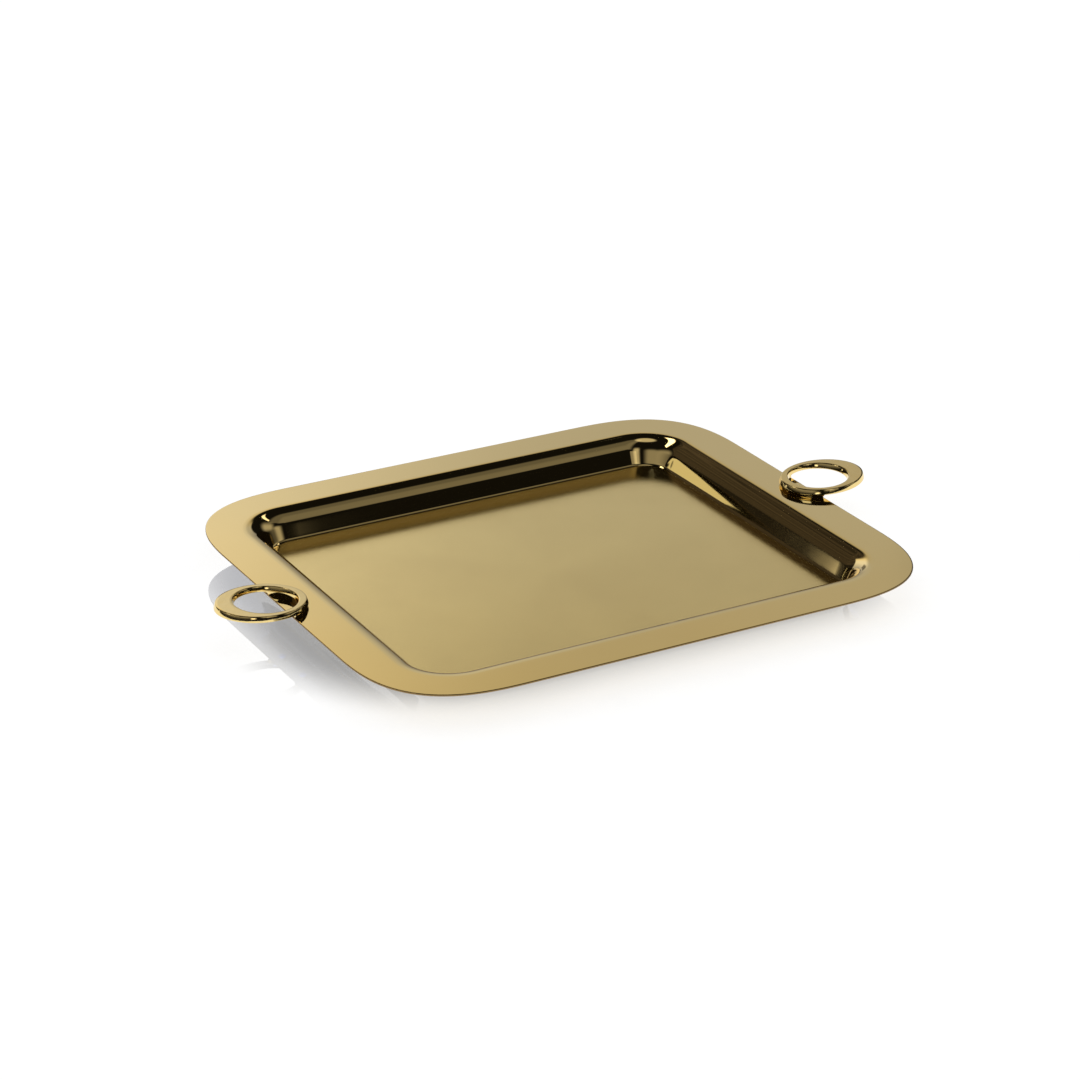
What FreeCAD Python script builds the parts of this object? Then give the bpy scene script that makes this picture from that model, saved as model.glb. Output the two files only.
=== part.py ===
import FreeCAD, Part
import math
import os

# A rectangular brass serving tray: a pressed sheet pan with a wide flat rim, two flat cast
# ring handles screwed to the short sides from below, and four rubber pads under the floor.
# Millimetres. X runs along the tray, Y across it, Z up. The origin is on the surface that
# the tray stands on, under the middle of the tray.

V = FreeCAD.Vector
UP = V(0, 0, 1)

# Pan
rim_length = 450.0
rim_width = 389.0
rim_top = 26.2
sheet = 1.2
edge_round = 0.3
corner_reach = 100.0       # how far along each side the outer corner's curve starts
corner_exponent = 2.8      # superellipse exponent of the outer corner, 2 is a plain arc
corner_steps = 12          # spans of the curve that draws one outer corner

flat_rim = 31.0            # width of the rim that is truly flat
mouth_corner = 42.0        # corner radius where the rim turns down into the well
mouth_round = 16.0         # radius of that turn, on the top side
wall_slope = 68.0          # degrees from the horizontal
cove_round = 6.5           # radius at the foot of the wall, on the top side

# Rubber pads
pad_radius = 9.5
pad_height = 4.2
pad_chamfer = 0.6
pad_x = 148.0
pad_y = 118.0

# Ring handles
ring_long = 34.0           # half size of the outline, along the tray
ring_short = 28.8          # half size of the outline, across the tray
ring_centre = 239.5        # from the middle of the tray
hole_radius = 23.2
hole_centre = 236.0        # the hole sits nearer the tray, so the band is thickest outside
ring_thickness = 4.2
ring_tilt = 2.0            # degrees, rising away from the tray
foot_height = 2.6          # gap under the ring at the rim's edge, filled by the foot
foot_setback = 0.5         # the foot ends this far inside the rim's edge
top_round = 1.3
bottom_round = 1.3         # under the part that stands out past the rim

# M3 pan-head screws
screw_angle = 42.0         # degrees round the hole from the middle of the tray side
screw_circle = 26.1        # radius, round the hole's centre, that the screws sit on
screw_radius = 1.5
screw_length = 6.0
head_radius = 2.8
head_height = 1.9
head_round = 0.8
slot_width = 0.8
slot_depth = 1.0
rim_hole_radius = 1.7
tapped_hole_radius = 1.52
tapped_hole_spare = 0.4    # the tapped hole is this much deeper than the screw

# Worked out from the above
floor_top = pad_height + sheet
well_depth = rim_top - floor_top
slope = math.radians(wall_slope)
wall_inset = (well_depth / math.tan(slope)
              + (mouth_round + cove_round) * math.tan(slope / 2))
mouth_half_x = rim_length / 2 - flat_rim
mouth_half_y = rim_width / 2 - flat_rim
axis_x = mouth_half_x - mouth_corner
axis_y = mouth_half_y - mouth_corner
rim_edge = rim_length / 2


def rounded_rectangle(half_x, half_y, radius, z):
    """A closed wire of four lines and four quarter circles at height z."""
    cx = half_x - radius
    cy = half_y - radius
    edges = []
    for k, (sx, sy) in enumerate(((1, 1), (-1, 1), (-1, -1), (1, -1))):
        centre = V(sx * cx, sy * cy, z)
        start = math.radians(90 * k)
        ends = [centre + V(math.cos(a), math.sin(a), 0) * radius
                for a in (start, start + math.pi / 4, start + math.pi / 2)]
        edges.append(Part.Arc(*ends).toShape())
        along = V(-1, 0, 0) if k % 2 == 0 else V(0, -1, 0)
        if k >= 2:
            along = along * -1
        run = 2 * cx if k % 2 == 0 else 2 * cy
        edges.append(Part.LineSegment(ends[2], ends[2] + along * run).toShape())
    return Part.Wire(edges)


def soft_corner(z):
    """The outer corner in the +X +Y quadrant, from the end side round to the long side."""
    points = []
    for k in range(corner_steps + 1):
        a = math.pi / 2 * k / corner_steps
        c = max(math.cos(a), 0.0)
        s = math.sin(a)
        reach = corner_reach / (c ** corner_exponent + s ** corner_exponent) ** (1 / corner_exponent)
        points.append(V(rim_length / 2 - corner_reach + reach * c,
                        rim_width / 2 - corner_reach + reach * s, z))
    curve = Part.BSplineCurve()
    curve.interpolate(Points=points, InitialTangent=V(0, 1, 0), FinalTangent=V(-1, 0, 0))
    return curve.toShape()


def rim_outline(z):
    """The tray's outer outline: straight sides that flow into soft corners."""
    first = soft_corner(z)
    middle = V(0, 0, z)
    second = first.mirror(middle, V(1, 0, 0))
    corners = [first, second, second.mirror(middle, V(0, 1, 0)), first.mirror(middle, V(0, 1, 0))]
    side_x = rim_length / 2 - corner_reach
    side_y = rim_width / 2 - corner_reach
    sides = [
        Part.LineSegment(V(side_x, rim_width / 2, z), V(-side_x, rim_width / 2, z)),
        Part.LineSegment(V(-rim_length / 2, side_y, z), V(-rim_length / 2, -side_y, z)),
        Part.LineSegment(V(-side_x, -rim_width / 2, z), V(side_x, -rim_width / 2, z)),
        Part.LineSegment(V(rim_length / 2, -side_y, z), V(rim_length / 2, side_y, z)),
    ]
    edges = corners + [side.toShape() for side in sides]
    return Part.Wire(Part.sortEdges(edges)[0])


def wall_line(offset):
    """Edges of the wall's section, offset below the top side: mouth turn, slope, cove.

    X is the distance in from the flat rim and Z the height."""
    mouth = mouth_round - offset
    cove = cove_round + offset
    mouth_axis = V(0, 0, rim_top - mouth_round)
    cove_axis = V(wall_inset, 0, floor_top + cove_round)

    def on_mouth(angle):
        return mouth_axis + V(math.sin(angle), 0, math.cos(angle)) * mouth

    def on_cove(angle):
        return cove_axis - V(math.sin(angle), 0, math.cos(angle)) * cove

    return [
        Part.Arc(on_mouth(0), on_mouth(slope / 2), on_mouth(slope)).toShape(),
        Part.LineSegment(on_mouth(slope), on_cove(slope)).toShape(),
        Part.Arc(on_cove(slope), on_cove(slope / 2), on_cove(0)).toShape(),
    ]


def wall_section():
    """The closed section of the well's wall, one sheet thick."""
    top = wall_line(0)
    under = wall_line(sheet)
    start = Part.LineSegment(V(0, 0, rim_top), V(0, 0, rim_top - sheet)).toShape()
    end = Part.LineSegment(V(wall_inset, 0, floor_top), V(wall_inset, 0, floor_top - sheet)).toShape()
    return Part.Face(Part.Wire(Part.sortEdges(top + under + [start, end])[0]))


def make_wall():
    """The well's wall: four straight runs joined by four quarter turns."""
    section = wall_section()
    inward = section.mirror(V(0, 0, 0), V(1, 0, 0))
    end_run = inward.translated(V(mouth_half_x, -axis_y, 0)).extrude(V(0, 2 * axis_y, 0))
    turned = inward.rotated(V(0, 0, 0), UP, 90)
    side_run = turned.translated(V(-axis_x, mouth_half_y, 0)).extrude(V(2 * axis_x, 0, 0))
    turn = inward.translated(V(mouth_half_x, axis_y, 0)).revolve(V(axis_x, axis_y, 0), UP, 90)
    middle = V(0, 0, 0)
    left_turn = turn.mirror(middle, V(1, 0, 0))
    pieces = [end_run, end_run.mirror(middle, V(1, 0, 0)),
              side_run, side_run.mirror(middle, V(0, 1, 0)),
              turn, turn.mirror(middle, V(0, 1, 0)),
              left_turn, left_turn.mirror(middle, V(0, 1, 0))]
    return pieces


def handle_frame(point, side):
    """A point given for the right-hand handle, moved to the handle on this side."""
    return V(side * point.x, point.y, point.z)


def screw_places(side):
    """Where one handle's two screws go through the rim."""
    angle = math.radians(screw_angle)
    places = []
    for across in (-1, 1):
        point = V(hole_centre - screw_circle * math.cos(angle),
                  across * screw_circle * math.sin(angle), rim_top - sheet)
        places.append(handle_frame(point, side))
    return places


def make_pan():
    """The pan, pressed from one sheet: rim, wall and floor."""
    plate = Part.Face([rim_outline(rim_top),
                       rounded_rectangle(mouth_half_x, mouth_half_y, mouth_corner, rim_top).reversed()])
    plate = plate.extrude(V(0, 0, -sheet))
    floor = Part.Face(rounded_rectangle(mouth_half_x - wall_inset, mouth_half_y - wall_inset,
                                        mouth_corner - wall_inset, floor_top))
    floor = floor.extrude(V(0, 0, -sheet))
    pan = plate.multiFuse(make_wall() + [floor]).removeSplitter()
    outer = [edge for edge in pan.Edges if on_rim_edge(edge)]
    pan = pan.makeFillet(edge_round, outer)
    for side in (-1, 1):
        for place in screw_places(side):
            pan = pan.cut(Part.makeCylinder(rim_hole_radius, 3 * sheet, place - UP * sheet))
    return pan


def on_rim_edge(edge):
    """True for the edges that run round the outside of the rim, above and below."""
    box = edge.BoundBox
    level = box.ZMax - box.ZMin < 0.01
    inside = box.XMax < mouth_half_x + 1 and box.XMin > -mouth_half_x - 1
    inside = inside and box.YMax < mouth_half_y + 1 and box.YMin > -mouth_half_y - 1
    return level and not inside


def tilted_slab(height, thickness, low_x, high_x):
    """A slab whose lower face is the handle's tilted plane, this high at the rim's edge."""
    span = high_x - low_x
    slab = Part.makeBox(span, 4 * ring_short, thickness,
                        V(low_x, -2 * ring_short, rim_top + height))
    return slab.rotated(V(rim_edge, 0, rim_top + height), V(0, 1, 0), -ring_tilt)


def make_handle(side):
    """One cast ring handle with its foot, made on the +X side and mirrored if need be."""
    blank_height = 6 * ring_thickness
    outline = Part.Ellipse(V(ring_centre, 0, rim_top), ring_long, ring_short)
    blank = Part.Face(Part.Wire(outline.toShape())).extrude(UP * blank_height)
    blank = blank.cut(Part.makeCylinder(hole_radius, blank_height, V(hole_centre, 0, rim_top)))

    far_x = ring_centre + 2 * ring_long
    near_x = ring_centre - 2 * ring_long
    over = tilted_slab(foot_height + ring_thickness, blank_height, near_x, far_x)
    foot_end = rim_edge - foot_setback
    under = tilted_slab(foot_height - blank_height, blank_height, near_x, far_x)
    beyond = Part.makeBox(far_x - foot_end, 4 * ring_short, 2 * blank_height,
                          V(foot_end, -2 * ring_short, rim_top - blank_height))
    handle = blank.cut(over).cut(under.common(beyond))

    handle = handle.makeFillet(top_round, [e for e in handle.Edges if on_plane(e, ring_thickness)])
    lower = [e for e in handle.Edges if on_plane(e, 0) and e.BoundBox.XMax > rim_edge]
    handle = handle.makeFillet(bottom_round, lower)
    for place in screw_places(1):
        depth = screw_length - sheet + tapped_hole_spare
        start = V(place.x, place.y, rim_top)
        handle = handle.cut(Part.makeCylinder(tapped_hole_radius, depth, start))
    if side < 0:
        handle = handle.mirror(V(0, 0, 0), V(1, 0, 0))
    return handle


def on_plane(edge, height):
    """True for an edge that lies in the handle's tilted plane at this height over its underside."""
    rise = math.tan(math.radians(ring_tilt))
    for k in range(5):
        first, last = edge.ParameterRange
        point = edge.valueAt(first + (last - first) * k / 4)
        level = rim_top + foot_height + height + (point.x - rim_edge) * rise
        if abs(point.z - level) > 0.05:
            return False
    return True


def make_screw(place):
    """An M3 pan-head screw, head down, with its shank up through the rim."""
    head = Part.makeCylinder(head_radius, head_height, place - UP * head_height)
    rim = [e for e in head.Edges if e.BoundBox.ZMax < place.z - head_height + 0.01]
    head = head.makeFillet(head_round, rim)
    slot = Part.makeBox(2 * head_radius, slot_width, slot_depth,
                        V(place.x - head_radius, place.y - slot_width / 2, place.z - head_height))
    shank = Part.makeCylinder(screw_radius, screw_length, place)
    return head.cut(slot).fuse(shank).removeSplitter()


def make_pad(x, y):
    """A rubber disc stuck under the floor, with a chamfer round its lower edge."""
    pad = Part.makeCylinder(pad_radius, pad_height, V(x, y, 0))
    low = [e for e in pad.Edges if e.BoundBox.ZMax < 0.01]
    return pad.makeChamfer(pad_chamfer, low)


def make_all():
    """Every piece by name."""
    pieces = {"tray_pan": make_pan()}
    for side, name in ((-1, "left"), (1, "right")):
        pieces["handle_" + name] = make_handle(side)
        for place, end in zip(screw_places(side), ("front", "back")):
            pieces["screw_" + name + "_" + end] = make_screw(place)
        for y, end in ((-pad_y, "front"), (pad_y, "back")):
            pieces["pad_" + name + "_" + end] = make_pad(side * pad_x, y)
    return pieces


os.makedirs("parts", exist_ok=True)
for node, shape in make_all().items():
    shape.exportStep("parts/" + node + ".step")
    print(node, shape.ShapeType, len(shape.Solids), shape.isValid(), round(shape.Volume / 1000, 2))
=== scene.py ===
import bpy
import bmesh
import math
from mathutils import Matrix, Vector


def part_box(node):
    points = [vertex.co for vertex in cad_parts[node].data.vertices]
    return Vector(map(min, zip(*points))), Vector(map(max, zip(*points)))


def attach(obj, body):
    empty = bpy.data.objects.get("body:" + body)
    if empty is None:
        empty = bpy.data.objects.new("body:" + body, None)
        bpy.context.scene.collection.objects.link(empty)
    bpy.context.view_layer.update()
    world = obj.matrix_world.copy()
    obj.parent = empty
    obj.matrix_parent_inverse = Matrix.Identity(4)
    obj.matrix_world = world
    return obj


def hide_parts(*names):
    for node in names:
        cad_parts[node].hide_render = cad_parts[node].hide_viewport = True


# A brass serving tray: one pressed pan with a polished rim and wall and a satin floor, two flat
# ring handles, four screws and four rubber pads. Metres, in the frame of the CAD model.

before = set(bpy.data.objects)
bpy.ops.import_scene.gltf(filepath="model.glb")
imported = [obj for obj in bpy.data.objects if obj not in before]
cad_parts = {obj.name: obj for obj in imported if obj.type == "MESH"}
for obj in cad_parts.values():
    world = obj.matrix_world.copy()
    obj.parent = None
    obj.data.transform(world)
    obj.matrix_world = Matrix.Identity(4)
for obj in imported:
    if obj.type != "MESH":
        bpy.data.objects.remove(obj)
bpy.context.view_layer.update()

MM = 0.001

# ---------------------------------------------------------------- sizes, worked out from the frame
pan_low, pan_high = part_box("tray_pan")
ring_low, ring_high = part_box("handle_right")

half_x = pan_high.x
half_y = pan_high.y
rim_top = pan_high.z
sheet = 1.2 * MM
edge_round = 0.3 * MM
corner_reach = 100 * MM
corner_exponent = 2.8
flat_rim = 31 * MM
mouth_corner = 42 * MM
mouth_round = 16 * MM
wall_slope = math.radians(68)
cove_round = 2.6 * MM
lead_in = 2.5 * MM          # the rim starts to dip this far before the turn's full curve
lead_angle = math.radians(2.5)
lead_power = 1.6            # how the dip steepens
lead_share = 0.62           # about 1 / lead_power, so that the dip runs on into the turn

floor_top = pan_low.z + sheet
well_depth = rim_top - floor_top
wall_inset = (well_depth / math.tan(wall_slope)
              + (mouth_round + cove_round) * math.tan(wall_slope / 2))
mouth_x = half_x - flat_rim
mouth_y = half_y - flat_rim
axis_x = mouth_x - mouth_corner
axis_y = mouth_y - mouth_corner

ring_long = (ring_high.x - ring_low.x) / 2
ring_centre = (ring_high.x + ring_low.x) / 2
ring_short = ring_high.y
hole_radius = 23.2 * MM
hole_centre = 236 * MM
ring_thickness = 4.5 * MM
foot_height = 2.3 * MM
foot_setback = 0.5 * MM
foot_end = half_x - foot_setback
ring_tilt = math.radians(2)

SHARP = math.radians(40)   # edges that turn by more than this stay sharp


# ---------------------------------------------------------------- mesh helpers
def new_piece(name, bm, smooth_angle=None):
    """An object made from a bmesh, smooth shaded, sharp only at edges over smooth_angle."""
    bmesh.ops.recalc_face_normals(bm, faces=bm.faces)
    mesh = bpy.data.meshes.new(name)
    bm.to_mesh(mesh)
    bm.free()
    piece = bpy.data.objects.new(name, mesh)
    bpy.context.scene.collection.objects.link(piece)
    for face in mesh.polygons:
        face.use_smooth = True
    if smooth_angle is not None:
        mesh.set_sharp_from_angle(angle=smooth_angle)
    return piece


def skin(bm, loops):
    """Quads between closed loops of equally many vertices."""
    for first, second in zip(loops, loops[1:]):
        count = len(first)
        for k in range(count):
            bm.faces.new((first[k], first[(k + 1) % count], second[(k + 1) % count], second[k]))


# ---------------------------------------------------------------- pan
CORNER_STEPS = 36
SIDE_STEPS = 30
LEAD_STEPS = 10
TURN_STEPS = 24
SLOPE_STEPS = 5
COVE_STEPS = 16
EDGE_STEPS = 6
FLOOR_GAPS = (0.7, 1.6, 3, 6, 10, 14, 17)           # mm from the foot of the wall
MIDDLE_SHARES = (0.15, 0.4, 0.65, 0.85)             # of the innermost of these loops
RIM_SHARES = (0.12, 0.3, 0.5, 0.7, 0.88, 0.97, 1.0) # of the way out over the flat rim
# The satin mask also carries the floor's lighter brass, which is painted light; the foot's loops
# get half of it.
HALF_SATIN_AND_PAINTED_LIGHT = 0.5                                    # on the loop where the satin floor begins


def corner_fractions():
    """Position round one loop: (quadrant, kind, fraction), corner points then side points."""
    spots = []
    for quadrant in range(4):
        for k in range(CORNER_STEPS):
            spots.append((quadrant, "corner", k / CORNER_STEPS))
        for k in range(SIDE_STEPS):
            spots.append((quadrant, "side", k / SIDE_STEPS))
    return spots


def outline(corner_point, centre_x, centre_y):
    """A closed outline. corner_point gives a quarter turn about (centre_x, centre_y)."""
    points = []
    for quadrant, kind, t in corner_fractions():
        if kind == "corner":
            place = quadrant_turn(corner_point(t, quadrant), centre_x, centre_y, quadrant)
        else:
            start = quadrant_turn(corner_point(1.0, quadrant), centre_x, centre_y, quadrant)
            following = (quadrant + 1) % 4
            end = quadrant_turn(corner_point(0.0, following), centre_x, centre_y, following)
            place = start.lerp(end, t)
        points.append(place)
    return points


def quadrant_turn(local, centre_x, centre_y, quadrant):
    """Moves a quarter-turn point, given as distances along the turned axes, into its quadrant."""
    u, v = local
    turned = ((u, v), (-v, u), (-u, -v), (v, -u))[quadrant]
    sx = (1, -1, -1, 1)[quadrant]
    sy = (1, 1, -1, -1)[quadrant]
    return Vector((sx * centre_x + turned[0], sy * centre_y + turned[1]))


def round_corner(radius):
    """A quarter circle."""
    def point(t, quadrant):
        angle = t * math.pi / 2
        return radius * math.cos(angle), radius * math.sin(angle)
    return point


def soft_corner(inset):
    """The rim's superellipse corner, drawn inset along its own normal."""
    def point(t, quadrant):
        angle = t * math.pi / 2
        c = max(math.cos(angle), 0.0)
        s = math.sin(angle)
        total = c ** corner_exponent + s ** corner_exponent
        reach = corner_reach / total ** (1 / corner_exponent)
        x = reach * c
        y = reach * s
        slope = corner_exponent - 1
        normal = Vector((x ** slope, y ** slope)).normalized()
        return x - inset * normal.x, y - inset * normal.y
    return point


def rim_loop(inset):
    """The rim's outline, this far in from its edge."""
    return outline(soft_corner(inset), half_x - corner_reach, half_y - corner_reach)


def mouth_loop(inset):
    """The well's outline, this far in from its mouth."""
    return outline(round_corner(mouth_corner - inset), axis_x, axis_y)


def wall_profile(offset):
    """(inset, height) pairs of the lead-in, turn, slope and cove, offset below the top side."""
    mouth = mouth_round - offset
    cove = cove_round + offset
    turn_start = mouth_round * math.sin(lead_angle)
    lead_drop = lead_in * math.tan(lead_angle) * lead_share
    turn_axis = rim_top - lead_drop - mouth_round * math.cos(lead_angle)
    pairs = []
    for k in range(LEAD_STEPS):
        t = k / LEAD_STEPS
        dip = lead_drop * t ** lead_power
        pairs.append((turn_start - lead_in * (1 - t), rim_top - offset - dip))
    for k in range(TURN_STEPS + 1):
        a = lead_angle + (wall_slope - lead_angle) * k / TURN_STEPS
        pairs.append((mouth * math.sin(a), turn_axis + mouth * math.cos(a)))
    top = pairs[-1]
    cove_pairs = []
    for k in range(COVE_STEPS + 1):
        a = wall_slope * (1 - k / COVE_STEPS)
        height = floor_top + cove_round - cove * math.cos(a)
        cove_pairs.append((wall_inset - cove * math.sin(a), height))
    foot = cove_pairs[0]
    for k in range(1, SLOPE_STEPS):
        t = k / SLOPE_STEPS
        pairs.append((top[0] + (foot[0] - top[0]) * t, top[1] + (foot[1] - top[1]) * t))
    return pairs + cove_pairs


def make_pan():
    """The pan as one closed skin, from the middle of the floor over the rim to the underside."""
    bm = bmesh.new()
    # The satin layer marks the satin floor's finish and also where its lighter brass, painted
    # light, goes.
    satin_and_painted_light = bm.verts.layers.float.new("satin_and_painted_light")
    foot_line = bm.verts.layers.float.new("foot_line")
    # The cut_edge layer marks the rim's edge, which is painted darker as painted shade and made
    # rougher.
    cut_edge = bm.verts.layers.float.new("cut_edge")
    brink = mouth_loop(mouth_round * math.sin(lead_angle) - lead_in)
    loops = []

    def add(points, z, is_satin_and_painted_light=0.0, on_foot=0.0, on_edge=0.0):
        loop = []
        for place in points:
            vertex = bm.verts.new((place.x, place.y, z))
            vertex[satin_and_painted_light] = is_satin_and_painted_light
            vertex[foot_line] = on_foot
            vertex[cut_edge] = on_edge
            loop.append(vertex)
        loops.append(loop)

    floor_insets = [wall_inset + gap * MM for gap in FLOOR_GAPS]

    def side(offset):
        """(points, height, satin and painted light, foot line) of one side's loops, from the
        floor's middle out.
        """
        rows = []
        base = mouth_loop(floor_insets[-1])
        level = floor_top - offset
        for share in MIDDLE_SHARES:
            rows.append(([p * share for p in base], level, 1.0, 0.0))
        for inset in reversed(floor_insets):
            rows.append((mouth_loop(inset), level, 1.0, float(inset == floor_insets[0])))
        for inset, z in reversed(wall_profile(offset)):
            at_foot = float(z <= level + 1e-7)
            rows.append((mouth_loop(inset), z, HALF_SATIN_AND_PAINTED_LIGHT * at_foot, at_foot))
        edge = rim_loop(edge_round)
        for t in RIM_SHARES:
            rows.append(([m.lerp(e, t) for m, e in zip(brink, edge)], rim_top - offset, 0.0, 0.0))
        return rows

    for points, z, is_satin_and_painted_light, on_foot in side(0.0):
        add(points, z, is_satin_and_painted_light, on_foot)
    for k in range(1, EDGE_STEPS + 1):
        a = math.pi / 2 * k / EDGE_STEPS
        inset = edge_round * (1 - math.sin(a))
        add(rim_loop(inset), rim_top - edge_round * (1 - math.cos(a)), on_edge=1.0)
    for k in range(EDGE_STEPS):
        a = math.pi / 2 * (1 - k / EDGE_STEPS)
        inset = edge_round * (1 - math.sin(a))
        add(rim_loop(inset), rim_top - sheet + edge_round * (1 - math.cos(a)), on_edge=1.0)
    for points, z, is_satin_and_painted_light, on_foot in reversed(side(sheet)):
        add(points, z)

    skin(bm, loops)
    bm.faces.new(loops[0])
    bm.faces.new(loops[-1])
    return new_piece("pan", bm)


# ---------------------------------------------------------------- ring handles
FREE_COLUMNS = 108         # round the part that stands out past the rim
FOOT_COLUMNS = 52          # round the part that stands on the rim
TOP_SPAN = 6
EDGE_SPAN = 9
SIDE_SPAN = 6
top_edge = 0.25 * MM       # the small rounding at the edge of the flat top
edge_drop = 0.15 * MM
lean_width = 1.18 * MM     # below it the side leans outwards, less and less
lean_drop = 3.5 * MM
lean_power = 1.6
lean_curve = 0.3           # how much of the lean fades on the way down
bulge = 0.6 * MM           # how far the side stands out past the ring's outline
under_width = 1.3 * MM     # the rounding between the side and the underside
under_drop = ring_thickness - lean_drop - edge_drop
foot_taper = 2.8 * MM      # the foot draws in by this much at its outer side


def ring_level(x):
    """Height of the ring's underside at this distance out."""
    return rim_top + foot_height + (x - half_x) * math.tan(ring_tilt)


def ring_columns():
    """Plan points (on the hole, on the outline) round the ring, starting at the foot's end."""
    hole_cut = math.acos((foot_end - hole_centre) / hole_radius)
    outer_cut = math.acos((foot_end - ring_centre) / ring_long)

    def plan(hole_angle, outer_angle):
        inner = Vector((hole_centre + hole_radius * math.cos(hole_angle),
                        hole_radius * math.sin(hole_angle)))
        outer = Vector((ring_centre + ring_long * math.cos(outer_angle),
                        ring_short * math.sin(outer_angle)))
        return inner, outer

    free = []
    for k in range(FREE_COLUMNS + 1):
        t = 2 * k / FREE_COLUMNS - 1
        free.append(plan(t * hole_cut, t * outer_cut))
    foot = []
    for k in range(FOOT_COLUMNS + 1):
        t = 2 * k / FOOT_COLUMNS
        foot.append(plan(hole_cut + t * (math.pi - hole_cut),
                         outer_cut + t * (math.pi - outer_cut)))
    return free, foot


def ring_section(inner, outer, with_foot):
    """A closed section between two plan points: the upper half first, from inner to outer side."""
    unit = (outer - inner).normalized()
    inner = inner - unit * bulge
    outer = outer + unit * bulge
    width = (outer - inner).length

    def at(distance, level):
        place = inner + unit * distance
        return Vector((place.x, place.y, ring_level(place.x) + level))

    upper = [(lean_width + top_edge, ring_thickness),
             (lean_width + 0.35 * top_edge, ring_thickness - 0.3 * edge_drop)]
    for k in range(EDGE_SPAN - 1):
        t = 1 - (1 - k / (EDGE_SPAN - 2)) ** lean_power
        lean = lean_width * (1 - (1 + lean_curve) * t + lean_curve * t * t)
        upper.append((lean, ring_thickness - edge_drop - lean_drop * t))
    section = [at(d, z) for d, z in reversed(upper)]
    flat_start = lean_width + top_edge
    for k in range(1, TOP_SPAN):
        span = width - 2 * flat_start
        section.append(at(flat_start + span * k / TOP_SPAN, ring_thickness))
    section += [at(width - d, z) for d, z in upper]

    if with_foot:
        inner = inner + unit * bulge
        shoulder = section[-1].z
        taper = min(foot_taper, width / 4)
        for k in range(1, SIDE_SPAN + 1):
            t = k / SIDE_SPAN
            place = outer - unit * taper * math.sin(t * math.pi / 2) ** 2
            section.append(Vector((place.x, place.y, shoulder + (rim_top - shoulder) * t)))
        base = outer - unit * taper
        for k in range(1, TOP_SPAN):
            place = base.lerp(inner, k / TOP_SPAN)
            section.append(Vector((place.x, place.y, rim_top)))
        shoulder = section[0].z
        for k in range(SIDE_SPAN):
            level = rim_top + (shoulder - rim_top) * k / SIDE_SPAN
            section.append(Vector((inner.x, inner.y, level)))
    else:
        lower = []
        for k in range(1, SIDE_SPAN + 1):
            a = math.pi / 2 * k / SIDE_SPAN
            lower.append((under_width * (1 - math.cos(a)), under_drop * (1 - math.sin(a))))
        section += [at(width - d, z) for d, z in lower]
        for k in range(1, TOP_SPAN):
            span = width - 2 * under_width
            section.append(at(width - under_width - span * k / TOP_SPAN, 0.0))
        section += [at(d, z) for d, z in reversed(lower)]
    return section


def make_ring(name, side):
    """One ring handle with its foot, as a closed skin swept round the hole."""
    bm = bmesh.new()
    free, foot = ring_columns()

    def sweep(columns, with_foot):
        loops = []
        for inner, outer in columns:
            section = ring_section(inner, outer, with_foot)
            loops.append([bm.verts.new((side * p.x, p.y, p.z)) for p in section])
        skin(bm, loops)
        return loops

    free_loops = sweep(free, False)
    foot_loops = sweep(foot, True)
    shared = 2 * (EDGE_SPAN + 1) + TOP_SPAN - 1
    joins = ((free_loops[-1], foot_loops[0]), (free_loops[0], foot_loops[-1]))
    for free_loop, foot_loop in joins:      # the foot's outer face, below the free part's section
        bm.faces.new(free_loop[shared:] + foot_loop[:1] + list(reversed(foot_loop[shared - 1:])))
    bmesh.ops.remove_doubles(bm, verts=bm.verts, dist=0.01 * MM)
    return new_piece(name, bm, SHARP)


# ---------------------------------------------------------------- node graphs
class Graph:
    """Short forms for building a node tree."""

    def __init__(self, tree):
        self.tree = tree

    def add(self, kind):
        return self.tree.nodes.new(kind)

    def link(self, source, target):
        self.tree.links.new(source, target)

    def put(self, target, value):
        if hasattr(value, "is_linked"):
            self.link(value, target)
        else:
            target.default_value = value

    def math(self, operation, *values):
        node = self.add("ShaderNodeMath")
        node.operation = operation
        for socket, value in zip(node.inputs, values):
            self.put(socket, value)
        return node.outputs[0]

    def remap(self, value, low, high, to_low=0.0, to_high=1.0, smooth=False):
        """value from low..high to to_low..to_high, clamped."""
        node = self.add("ShaderNodeMapRange")
        if smooth:
            node.interpolation_type = "SMOOTHSTEP"
        self.put(node.inputs["Value"], value)
        limits = {"From Min": low, "From Max": high, "To Min": to_low, "To Max": to_high}
        for name, number in limits.items():
            self.put(node.inputs[name], number)
        return node.outputs[0]

    def mix(self, factor, first, second):
        node = self.add("ShaderNodeMix")
        node.data_type = "RGBA"
        sockets = [socket for socket in node.inputs if socket.type == "RGBA"]
        self.put(node.inputs["Factor"], factor)
        self.put(sockets[0], first)
        self.put(sockets[1], second)
        return [socket for socket in node.outputs if socket.type == "RGBA"][0]


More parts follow.
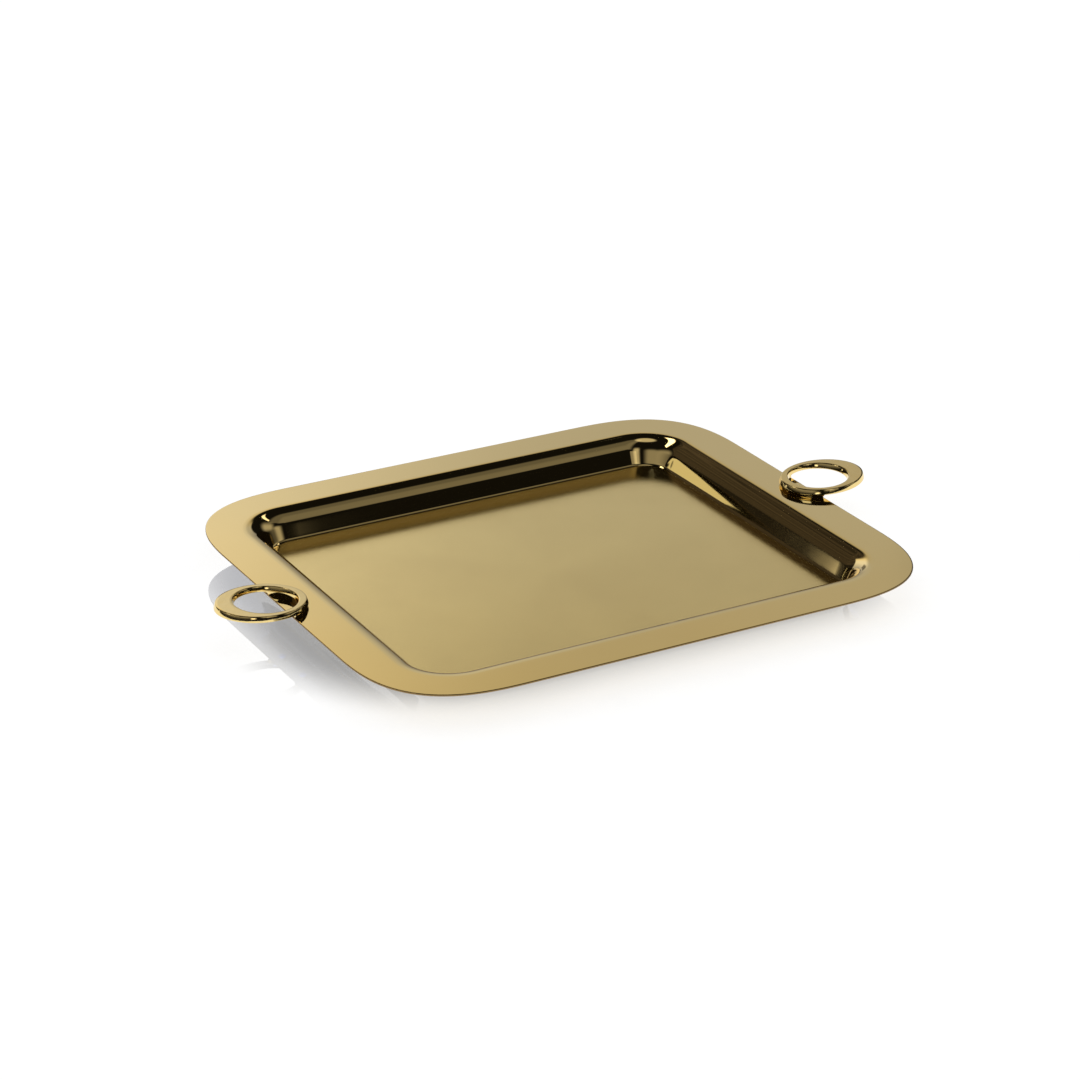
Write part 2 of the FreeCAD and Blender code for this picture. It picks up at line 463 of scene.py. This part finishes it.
class Finish(Graph):
    """One material's node tree."""

    def __init__(self, name):
        self.material = bpy.data.materials.new(name)
        self.material.use_nodes = True
        super().__init__(self.material.node_tree)
        self.shader = self.tree.nodes["Principled BSDF"]
        self.place = self.add("ShaderNodeTexCoord").outputs["Object"]

    def stretch(self, scale):
        """Object coordinates, scaled per axis."""
        node = self.add("ShaderNodeMapping")
        self.link(self.place, node.inputs["Vector"])
        node.inputs["Scale"].default_value = scale
        return node.outputs[0]

    def noise(self, scale, detail=3.0, roughness=0.5, place=None):
        node = self.add("ShaderNodeTexNoise")
        self.link(place or self.place, node.inputs["Vector"])
        node.inputs["Scale"].default_value = scale
        node.inputs["Detail"].default_value = detail
        node.inputs["Roughness"].default_value = roughness
        return node.outputs["Fac"]

    def attribute(self, name):
        node = self.add("ShaderNodeAttribute")
        node.attribute_name = name
        return node.outputs["Fac"]

    def bump(self, height, distance, normal=None):
        """Bumps of this height in metres."""
        node = self.add("ShaderNodeBump")
        node.inputs["Distance"].default_value = distance
        self.put(node.inputs["Height"], height)
        if normal is not None:
            self.link(normal, node.inputs["Normal"])
        return node.outputs[0]

    def set(self, name, value):
        self.put(self.shader.inputs[name], value)


# ---------------------------------------------------------------- materials
BRASS = (0.87, 0.672, 0.29, 1.0)
BRASS_DEEP = (0.84, 0.63, 0.25, 1.0)
# A lighter copy of the brass for the satin floor: painted light that brightens the floor.
BRASS_FLOOR_PAINTED_LIGHT = (0.99, 0.79, 0.35, 1.0)
# A darker brass for the sheet's cut edge: painted shade for the dark line along the rim's edge.
BRASS_EDGE_PAINTED_SHADE = (0.30, 0.20, 0.085, 1.0)


def pan_material():
    """Brass: polished on the rim and wall, satin on the floor, where a lighter copy of the brass
    is painted light, and a darker brass on the sheet's cut edge as painted shade.
    """
    f = Finish("pan_brass")
    satin_and_painted_light = f.attribute("satin_and_painted_light")
    foot_line = f.attribute("foot_line")
    cut_edge = f.attribute("cut_edge")
    tone = f.remap(f.noise(9.0, 4.0, 0.6), 0.35, 0.7, 0.0, 0.35)
    # The satin floor takes the lighter brass copy, which is painted light.
    brass = f.mix(satin_and_painted_light, f.mix(tone, BRASS, BRASS_DEEP), f.mix(tone, BRASS_FLOOR_PAINTED_LIGHT, BRASS))
    # The cut edge takes the darker brass, which is painted shade.
    f.set("Base Color", f.mix(cut_edge, brass, BRASS_EDGE_PAINTED_SHADE))
    f.set("Metallic", 1.0)
    smear = f.noise(14.0, 5.0, 0.62)
    grain = f.noise(2600.0, 2.0, 0.5, f.stretch((1.0, 0.12, 1.0)))
    polished = f.remap(smear, 0.3, 0.75, 0.03, 0.065)
    brushed = f.remap(f.math("ADD", smear, grain), 0.7, 1.3, 0.15, 0.19)
    extra = f.math("MULTIPLY", f.math("SUBTRACT", brushed, polished), satin_and_painted_light)
    rough = f.math("ADD", polished, extra)
    rough = f.math("ADD", rough, f.math("MULTIPLY", foot_line, 0.1))
    f.set("Roughness", f.math("ADD", rough, f.math("MULTIPLY", cut_edge, 0.35)))
    ripple = f.bump(f.noise(22.0, 1.0, 0.4), 0.00003)
    f.set("Normal", f.bump(f.math("MULTIPLY", grain, satin_and_painted_light), 0.000004, ripple))
    return f.material


def ring_material():
    """The same brass, cast and polished, with a slightly uneven surface."""
    f = Finish("handle_brass")
    tone = f.remap(f.noise(40.0, 4.0, 0.6), 0.35, 0.7, 0.0, 0.4)
    f.set("Base Color", f.mix(tone, BRASS, BRASS_DEEP))
    f.set("Metallic", 1.0)
    f.set("Roughness", f.remap(f.noise(60.0, 5.0, 0.6), 0.3, 0.75, 0.05, 0.11))
    f.set("Normal", f.bump(f.noise(120.0, 3.0, 0.55), 0.00006))
    return f.material


def screw_material():
    """Zinc-plated steel with a fine turned grain."""
    f = Finish("screw_steel")
    patches = f.remap(f.noise(700.0, 4.0, 0.6), 0.3, 0.7)
    f.set("Base Color", f.mix(patches, (0.56, 0.56, 0.55, 1.0), (0.70, 0.70, 0.68, 1.0)))
    f.set("Metallic", 1.0)
    f.set("Roughness", f.remap(f.noise(1500.0, 3.0, 0.6), 0.3, 0.7, 0.22, 0.4))
    f.set("Normal", f.bump(f.noise(2500.0, 2.0), 0.00003))
    return f.material


def pad_material():
    """Matte black rubber with a fine moulded grain and a little dust."""
    f = Finish("pad_rubber")
    dust = f.remap(f.noise(180.0, 5.0, 0.65), 0.4, 0.75, 0.0, 0.6)
    f.set("Base Color", f.mix(dust, (0.018, 0.018, 0.018, 1.0), (0.075, 0.072, 0.068, 1.0)))
    f.set("Roughness", f.remap(dust, 0.0, 0.6, 0.62, 0.88))
    f.set("Normal", f.bump(f.noise(1800.0, 3.0, 0.6), 0.0001))
    return f.material


def paint_node(node, material):
    """Gives a CAD node's material slots this material."""
    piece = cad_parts[node]
    if not piece.material_slots:
        piece.data.materials.append(material)
    for place in piece.material_slots:
        place.material = material


# ---------------------------------------------------------------- build
brass_pan = pan_material()
brass_ring = ring_material()
steel = screw_material()
rubber = pad_material()

pan = make_pan()
pan.data.materials.append(brass_pan)
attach(pan, "root")
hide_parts("tray_pan")
for side_name, side_sign in (("left", -1), ("right", 1)):
    ring = make_ring("ring_" + side_name, side_sign)
    ring.data.materials.append(brass_ring)
    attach(ring, "root")
    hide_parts("handle_" + side_name)
    for end in ("front", "back"):
        paint_node("screw_" + side_name + "_" + end, steel)
        paint_node("pad_" + side_name + "_" + end, rubber)


# ---------------------------------------------------------------- studio
WHITE = 1.06               # brightness of the room for everything but polished metal
ROOM_DARK = 0.0065         # what polished metal sees between the panels
ONE_REFLECTION = 2.5       # the world's Ray Depth is 2 after one reflection and 3 after two
PALE = (1.0, 0.95, 0.88, 1.0)
WARM = (1.0, 0.80, 0.64, 1.0)
COOL = (0.9, 1.1, 1.9, 1.0)

# The table's mirror layer is tinted against brass, and the room that it mirrors is tinted back.
GLOSS_TINT = (0.33, 0.43, 1.0, 1.0)
GLOSS_COMPLEMENT = (1.0 / 0.33, 1.0 / 0.43, 1.0, 1.0)

# The panels that polished metal reflects. Degrees: azimuth 0 is behind the tray and 90 to its
# right. (azimuths, elevations, softness of the ends, softness of top and bottom, brightness,
# tint, reflections that show it)
EVERY, FIRST, LATER = "every", "first", "later"
PANELS = (
    ((-45, 24), (-5, 8), 4, 2, 0.010, WARM, EVERY),            # dim wall, behind on the left
    ((-48, -41.6), (-2, 9), 0.35, 1.5, 0.75, PALE, EVERY),     # low window, far left
    ((-68, 18), (53, 60), 2, 0.8, 3.0, PALE, FIRST),           # long strip light, behind left
    ((42, 88), (43, 46.5), 2, 0.6, 1.6, PALE, EVERY),          # short strip light, behind right
    ((92, 130), (35, 84), 9, 1.5, 0.125, PALE, EVERY),         # grey card, front right
    ((130, 158), (33, 84), 9, 2, 0.185, PALE, EVERY),
    ((158, 180), (8, 23), 2, 1.5, 0.28, PALE, EVERY),          # its lower neighbour
    ((-157, -147), (7, 12), 3, 2, 2.0, PALE, FIRST),           # lamp beside the camera
    ((-133, -100), (32, 60), 1.5, 1.5, 0.9, COOL, LATER),      # softbox at the front left
)
DIM_WALL = ((-45, 24), (10, 43), 4, 2.5, 0.036)             # the wall behind, with streaks

# Low walls of the room that the flat metal mirrors in views from the sides and the back. The
# two at 180 degrees are one wall. They and the ceiling show in first reflections only.
# (azimuths, elevations, softness of the ends, softness of top and bottom, brightness)
SIDE_WALLS = (
    ((-108, -56), (12, 30), 12, 9, 0.30),
    ((-148, -108), (12, 30), 12, 9, 0.28),
    ((170, 200), (16, 38), 6, 8, 0.52),
    ((-200, -171), (16, 38), 6, 8, 0.52),
    ((70, 108), (9, 32), 10, 9, 0.42),
    ((114, 138), (7, 19), 9, 6, 0.42),
)
CEILING = 0.56             # brightness overhead, which the flat metal mirrors in a top view
CEILING_RISE = (74, 80)    # it comes up between these elevations
GROUND = 0.5               # below the horizon: seen in the underside where the table is hidden
GROUND_RISE = (-6.0, -2.0)

# The low white backdrop behind the tray, which lights the front view.
BACKDROP_AZIMUTHS = (-6, 38)
BACKDROP_ELEVATIONS = (-12, 29.0)
BACKDROP_SOFT = (2, 2.5)
BACKDROP_RIGHT = 0.49      # brightness of its right part
BACKDROP_GAIN_LEFT = 0.40  # added towards its left
BACKDROP_TURN = (31, 19)   # azimuths between which the gain comes in
BACKDROP_LOWER = (0, 19, 0.4, 1.0)                  # elevations, and how bright it is at each
BACKDROP_SPOT = ((18, 25), (8, 18), 1.5, 2)         # a dark spot: azimuths, elevations, softness
SPOT_LEFT_OVER = 0.2
BACKDROP_WARMING = (23, 27.5)                       # elevations
BACKDROP_COLD = (1.0, 1.0, 1.03, 1.0)
BACKDROP_WARM = (1.0, 0.9, 0.68, 1.0)
PURE_WHITE = (1.0, 1.0, 1.0, 1.0)

# The table.
TABLE_SIZE = 14.0
TABLE_GREYS = ((0.25, 0.25, 0.25, 1.0), (0.27, 0.27, 0.27, 1.0))
TABLE_GLOW = 0.76
# The table mirrors only inside a zone shaped round the tray: painted reflection, which also shows
# the grey shade under the tray.
SHEEN = 0.66               # the most that the varnish mirrors
SHEEN_FADE = (-38 * MM, 26 * MM)            # it falls to nothing across the zone's outline
SHEEN_TURN = (-60 * MM, 60 * MM)            # x, between the zone's left and right shape
SHEEN_LEFT_SHIFT = 27 * MM
SHEEN_BACK_SHIFT = 31 * MM
SHEEN_RADII = (150 * MM, 80 * MM)           # its corner radius on the left and on the right


class Studio(Graph):
    """The room, as a brightness by direction."""

    def __init__(self, world):
        super().__init__(world.node_tree)
        split = self.add("ShaderNodeSeparateXYZ")
        self.link(self.add("ShaderNodeTexCoord").outputs["Generated"], split.inputs[0])
        self.x, self.y, self.z = split.outputs
        self.azimuth = self.degrees(self.math("ARCTAN2", self.x, self.y))
        self.elevation = self.degrees(self.math("ARCSINE", self.z))

    def degrees(self, angle):
        return self.math("MULTIPLY", angle, math.degrees(1.0))

    def window(self, value, limits, soft):
        """1 between two limits, falling smoothly to 0 outside."""
        rise = self.remap(value, limits[0] - soft, limits[0] + soft, smooth=True)
        fall = self.remap(value, limits[1] - soft, limits[1] + soft, 1.0, 0.0, smooth=True)
        return self.math("MULTIPLY", rise, fall)

    def patch(self, azimuths, elevations, soft_ends, soft_height):
        """1 inside these limits of azimuth and elevation."""
        return self.math("MULTIPLY", self.window(self.azimuth, azimuths, soft_ends),
                         self.window(self.elevation, elevations, soft_height))

    def panel(self, azimuths, elevations, soft_ends, soft_height, brightness):
        """A flat upright panel that faces the tray, with straight top and bottom edges."""
        facing = math.radians(sum(azimuths) / 2)
        towards = self.math("ADD", self.math("MULTIPLY", self.x, math.sin(facing)),
                            self.math("MULTIPLY", self.y, math.cos(facing)))
        level = self.degrees(self.math("ARCTAN2", self.z, towards))
        shape = self.math("MULTIPLY", self.window(self.azimuth, azimuths, soft_ends),
                          self.window(level, elevations, soft_height))
        return self.math("MULTIPLY", shape, brightness)

    def plus(self, first, second):
        node = self.add("ShaderNodeAddShader")
        self.link(first, node.inputs[0])
        self.link(second, node.inputs[1])
        return node.outputs[0]

    def either(self, factor, first, second):
        node = self.add("ShaderNodeMixShader")
        self.link(factor, node.inputs[0])
        self.link(first, node.inputs[1])
        self.link(second, node.inputs[2])
        return node.outputs[0]

    def streaks(self):
        """Uneven level lines, such as shelves would give, 1 on average."""
        place = self.add("ShaderNodeCombineXYZ")
        self.link(self.math("MULTIPLY", self.azimuth, 0.05), place.inputs[0])
        self.link(self.math("MULTIPLY", self.elevation, 0.9), place.inputs[1])
        lines = self.add("ShaderNodeTexNoise")
        self.link(place.outputs[0], lines.inputs["Vector"])
        lines.inputs["Scale"].default_value = 1.0
        lines.inputs["Detail"].default_value = 3.0
        return self.remap(lines.outputs["Fac"], 0.4, 0.68, 0.55, 2.4)

    def backdrop(self):
        """The low white backdrop, brighter on its left and warmer towards its top."""
        towards_left = self.remap(self.azimuth, *BACKDROP_TURN, smooth=True)
        gain = self.math("MULTIPLY_ADD", towards_left, BACKDROP_GAIN_LEFT, BACKDROP_RIGHT)
        shape = self.patch(BACKDROP_AZIMUTHS, BACKDROP_ELEVATIONS, *BACKDROP_SOFT)
        shape = self.math("MULTIPLY", shape, self.remap(self.elevation, *BACKDROP_LOWER))
        spot = self.remap(self.patch(*BACKDROP_SPOT), 0, 1, 1, SPOT_LEFT_OVER)
        shape = self.math("MULTIPLY", shape, spot)
        warmth = self.remap(self.elevation, *BACKDROP_WARMING)
        tint = self.mix(warmth, BACKDROP_COLD, BACKDROP_WARM)
        return tint, self.math("MULTIPLY", shape, gain)


def background(graph, color, strength):
    node = graph.add("ShaderNodeBackground")
    graph.put(node.inputs["Color"], color)
    graph.put(node.inputs["Strength"], strength)
    return node.outputs[0]


def make_world():
    """A white room for the camera, the table and the rubber, and a set of panels for metal."""
    world = bpy.data.worlds.new("studio")
    world.use_nodes = True
    world.cycles.sampling_method = "NONE"
    room = Studio(world)
    panels = background(room, PALE, ROOM_DARK)
    path = room.add("ShaderNodeLightPath")
    later = room.math("GREATER_THAN", path.outputs["Ray Depth"], ONE_REFLECTION)
    shown = {EVERY: 1.0, FIRST: room.math("SUBTRACT", 1.0, later), LATER: later}
    for *shape, tint, reflections in PANELS:
        strength = room.math("MULTIPLY", room.panel(*shape), shown[reflections])
        panels = room.plus(panels, background(room, tint, strength))
    walls = room.remap(room.elevation, *CEILING_RISE, 0.0, CEILING, smooth=True)
    for wall in SIDE_WALLS:
        walls = room.math("ADD", walls, room.panel(*wall))
    walls = room.math("MULTIPLY", walls, shown[FIRST])
    panels = room.plus(panels, background(room, PALE, walls))
    ground = room.remap(room.elevation, *GROUND_RISE, GROUND, 0.0, smooth=True)
    panels = room.plus(panels, background(room, PALE, ground))
    shelves = room.math("MULTIPLY", room.panel(*DIM_WALL), room.streaks())
    panels = room.plus(panels, background(room, WARM, shelves))
    panels = room.plus(panels, background(room, *room.backdrop()))
    plain = room.math("MAXIMUM", path.outputs["Is Camera Ray"], path.outputs["Is Diffuse Ray"])
    seen = room.either(plain, panels, background(room, PURE_WHITE, WHITE))
    mirrored = background(room, GLOSS_COMPLEMENT, WHITE)
    seen = room.either(path.outputs["Is Singular Ray"], seen, mirrored)
    room.link(seen, room.tree.nodes["World Output"].inputs["Surface"])
    bpy.context.scene.world = world


def table_sheen(f):
    """How strongly the table mirrors, as a painted reflection zone that follows the tray's
    outline: most beside and under the tray, less towards the front.
    """
    split = f.add("ShaderNodeSeparateXYZ")
    f.link(f.place, split.inputs[0])
    x, y = split.outputs["X"], split.outputs["Y"]
    left_shift = f.remap(x, *SHEEN_TURN, SHEEN_LEFT_SHIFT, 0.0)
    radius = f.remap(x, *SHEEN_TURN, *SHEEN_RADII)
    along = f.math("ADD", x, left_shift)
    across = f.math("SUBTRACT", y, SHEEN_BACK_SHIFT)
    past = []
    for spot, half in ((along, half_x), (across, half_y)):
        beyond = f.math("SUBTRACT", f.math("ABSOLUTE", spot), f.math("SUBTRACT", half, radius))
        past.append(f.math("POWER", f.math("MAXIMUM", beyond, 0.0), 2.0))
    distance = f.math("SUBTRACT", f.math("SQRT", f.math("ADD", *past)), radius)
    return f.remap(distance, *SHEEN_FADE, SHEEN, 0.0, smooth=True)


def make_table():
    """A white, softly glowing table top that mirrors the tray in neutral grey, in a painted
    reflection zone round the tray.
    """
    bm = bmesh.new()
    bmesh.ops.create_grid(bm, x_segments=2, y_segments=2, size=TABLE_SIZE)
    table = new_piece("table", bm)
    f = Finish("table_white")
    white = f.add("ShaderNodeBsdfDiffuse")
    grain = f.remap(f.noise(40.0, 4.0, 0.6), 0.3, 0.7)
    f.put(white.inputs["Color"], f.mix(grain, *TABLE_GREYS))
    glow = f.add("ShaderNodeEmission")
    glow.inputs["Strength"].default_value = TABLE_GLOW
    body = f.add("ShaderNodeAddShader")
    f.link(white.outputs[0], body.inputs[0])
    f.link(glow.outputs[0], body.inputs[1])
    gloss = f.add("ShaderNodeBsdfGlossy")
    gloss.inputs["Color"].default_value = GLOSS_TINT
    gloss.inputs["Roughness"].default_value = 0.0
    blend = f.add("ShaderNodeMixShader")
    # The mirror strength comes from the painted reflection zone round the tray.
    f.link(table_sheen(f), blend.inputs[0])
    f.link(body.outputs[0], blend.inputs[1])
    f.link(gloss.outputs[0], blend.inputs[2])
    f.link(blend.outputs[0], f.tree.nodes["Material Output"].inputs["Surface"])
    table.data.materials.append(f.material)


make_world()
make_table()


# ---------------------------------------------------------------- camera, fitted to the photograph
camera_azimuth = math.radians(-29.124)
camera_elevation = math.radians(23.818)
camera_distance = 2.3008
camera_target = Vector((-6.4 * MM, 10.6 * MM, rim_top))
lens = 102.43              # on a 36 mm wide sensor

camera_data = bpy.data.cameras.new("camera")
camera_data.lens = lens
camera_data.sensor_width = 36.0
camera_data.clip_start = 0.05
camera_data.clip_end = 60.0
camera = bpy.data.objects.new("camera", camera_data)
back = Vector((math.sin(camera_azimuth) * math.cos(camera_elevation),
               -math.cos(camera_azimuth) * math.cos(camera_elevation),
               math.sin(camera_elevation)))
camera.location = camera_target + back * camera_distance
camera.rotation_mode = "QUATERNION"
camera.rotation_quaternion = (-back).to_track_quat("-Z", "Y")
bpy.context.scene.collection.objects.link(camera)
bpy.context.scene.camera = camera

bpy.context.scene.view_settings.view_transform = "Standard"
